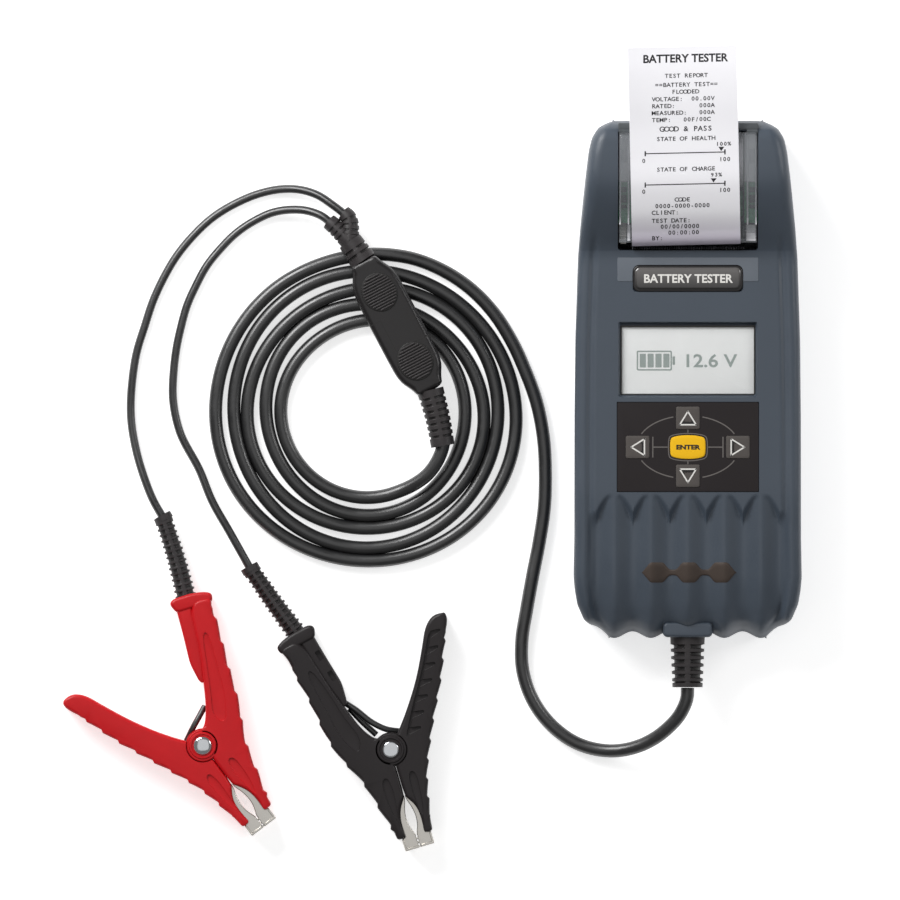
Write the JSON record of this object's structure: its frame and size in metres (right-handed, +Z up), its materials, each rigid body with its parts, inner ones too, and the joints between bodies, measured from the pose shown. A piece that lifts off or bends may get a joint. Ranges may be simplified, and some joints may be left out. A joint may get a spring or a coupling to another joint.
{
  "type": "battery tester",
  "caption": "Handheld battery tester with a screen, keypad and receipt printer, and a coiled cable with spring clamps.",
  "frame": {"origin": "middle of the tester's flat underside", "axes": "+Y towards the printer head, +X to the right of the keypad, +Z up out of the control face"},
  "size_m": [0.3868, 0.4206, 0.071],
  "materials": {
    "case_plastic": "satin moulded ABS, slate grey",
    "clear_plastic": "clear moulded polycarbonate",
    "lcd_panel": "liquid crystal panel",
    "keypad_film": "printed keypad film",
    "key_grey": "silicone rubber key",
    "key_amber": "silicone rubber key",
    "gloss_black": "glossy black plastic",
    "brown_plastic": "matte plastic inlay",
    "circuit_board": "solder-masked glass epoxy board",
    "printer_plastic": "moulded acetal printer frame",
    "ceramic_head": "thermal print head",
    "steel": "zinc plated steel",
    "gear_plastic": "acetal gear",
    "platen_rubber": "rubber platen",
    "paper": "thermal paper",
    "cell_wrap": "shrink-wrapped cell",
    "cable_pvc": "black PVC cable",
    "boot_rubber": "moulded rubber boot",
    "red_plastic": "moulded nylon, red",
    "black_plastic": "moulded nylon, black",
    "nickel": "nickel plated jaw",
    "chrome": "polished rivet"
  },
  "bodies": {
    "tester": {"front_shell": "case_plastic", "rear_shell": "case_plastic", "lcd_window": "clear_plastic", "lcd_module": "lcd_panel", "keypad_overlay": "keypad_film", "badge_plate": "gloss_black", "grip_inlay": "brown_plastic", "main_board": "circuit_board", "printer_board": "circuit_board", "printer_frame": "printer_plastic", "print_head": "ceramic_head", "tear_bar": "steel", "stepper_motor": "steel", "strain_relief": "boot_rubber", "main_cable": "cable_pvc", "cable_coil": "cable_pvc", "cable_inner_run": "cable_pvc", "connector_cable_half": "gloss_black", "case_screw_1": "steel", "case_screw_2": "steel", "case_screw_3": "steel", "case_screw_4": "steel", "cell_1": "cell_wrap", "cell_2": "cell_wrap", "cell_3": "cell_wrap", "cell_4": "cell_wrap", "cell_5": "cell_wrap", "cell_6": "cell_wrap"},
    "printer_cover": {"printer_cover": "clear_plastic", "paper_strip": "paper"},
    "platen": {"platen_roller": "platen_rubber", "platen_gear": "gear_plastic"},
    "feed_gear": {"feed_gear": "gear_plastic"},
    "paper_roll": {"paper_roll": "paper"},
    "battery_door": {"battery_door": "case_plastic"},
    "key_up": {"key_up": "key_grey"},
    "key_down": {"key_down": "key_grey"},
    "key_left": {"key_left": "key_grey"},
    "key_right": {"key_right": "key_grey"},
    "key_enter": {"key_enter": "key_amber"},
    "clamp_leads": {"connector_clamp_half": "gloss_black", "lead_red": "cable_pvc", "lead_black": "cable_pvc", "red_boot": "boot_rubber", "red_handle_fixed": "red_plastic", "red_cable_cover": "red_plastic", "red_jaw_fixed": "nickel", "red_rivet": "chrome", "red_torsion_spring": "steel", "black_boot": "boot_rubber", "black_handle_fixed": "black_plastic", "black_cable_cover": "black_plastic", "black_jaw_fixed": "nickel", "black_rivet": "chrome", "black_torsion_spring": "steel"},
    "red_jaw": {"red_handle_moving": "red_plastic", "red_jaw_moving": "nickel"},
    "black_jaw": {"black_handle_moving": "black_plastic", "black_jaw_moving": "nickel"}
  },
  "joints": [
    {"name": "cover_hinge", "type": "hinge", "parent": "tester", "child": "printer_cover", "pos_m": [0, 0.1286, 0.0663], "axis": [-1, 0, 0], "range_deg": [0, 80], "deforming": ["paper_strip"]},
    {"name": "platen_spin", "type": "hinge", "parent": "printer_cover", "child": "platen", "pos_m": [0, 0.0755, 0.0448], "axis": [1, 0, 0], "continuous": true},
    {"name": "feed_gear_spin", "type": "hinge", "parent": "tester", "child": "feed_gear", "pos_m": [-0.0337, 0.0854, 0.0448], "axis": [1, 0, 0], "continuous": true},
    {"name": "paper_roll_spin", "type": "hinge", "parent": "tester", "child": "paper_roll", "pos_m": [0, 0.1136, 0.048], "axis": [1, 0, 0], "continuous": true},
    {"name": "battery_door_tilt", "type": "hinge", "parent": "tester", "child": "battery_door", "pos_m": [0, -0.0103, 0], "axis": [1, 0, 0], "range_deg": [0, 60]},
    {"name": "key_up_press", "type": "slide", "parent": "tester", "child": "key_up", "axis": [0, 0, -1], "range_m": [0, 0.0005], "stiffness_N_per_m": 1500, "springref_m": -0.0005},
    {"name": "key_down_press", "type": "slide", "parent": "tester", "child": "key_down", "axis": [0, 0, -1], "range_m": [0, 0.0005], "stiffness_N_per_m": 1500, "springref_m": -0.0005},
    {"name": "key_left_press", "type": "slide", "parent": "tester", "child": "key_left", "axis": [0, 0, -1], "range_m": [0, 0.0005], "stiffness_N_per_m": 1500, "springref_m": -0.0005},
    {"name": "key_right_press", "type": "slide", "parent": "tester", "child": "key_right", "axis": [0, 0, -1], "range_m": [0, 0.0005], "stiffness_N_per_m": 1500, "springref_m": -0.0005},
    {"name": "key_enter_press", "type": "slide", "parent": "tester", "child": "key_enter", "axis": [0, 0, -1], "range_m": [0, 0.0005], "stiffness_N_per_m": 1500, "springref_m": -0.0005},
    {"name": "connector_pull", "type": "slide", "parent": "tester", "child": "clamp_leads", "axis": [-0.4608, 0.8875, 0], "range_m": [0, 0.012]},
    {"name": "red_jaw_open", "type": "hinge", "parent": "clamp_leads", "child": "red_jaw", "pos_m": [-0.2534, -0.192, 0.01], "axis": [0, 0, -1], "range_deg": [0, 30], "stiffness_Nm_per_rad": 0.9, "springref_deg": -28.65},
    {"name": "black_jaw_open", "type": "hinge", "parent": "clamp_leads", "child": "black_jaw", "pos_m": [-0.1551, -0.1941, 0.01], "axis": [0, 0, 1], "range_deg": [0, 30], "stiffness_Nm_per_rad": 0.9, "springref_deg": -28.65}
  ],
  "couplings": [
    {"joint": "platen_spin", "follows": "feed_gear_spin", "ratio": -1},
    {"joint": "paper_roll_spin", "follows": "feed_gear_spin", "ratio": -0.3169}
  ]
}
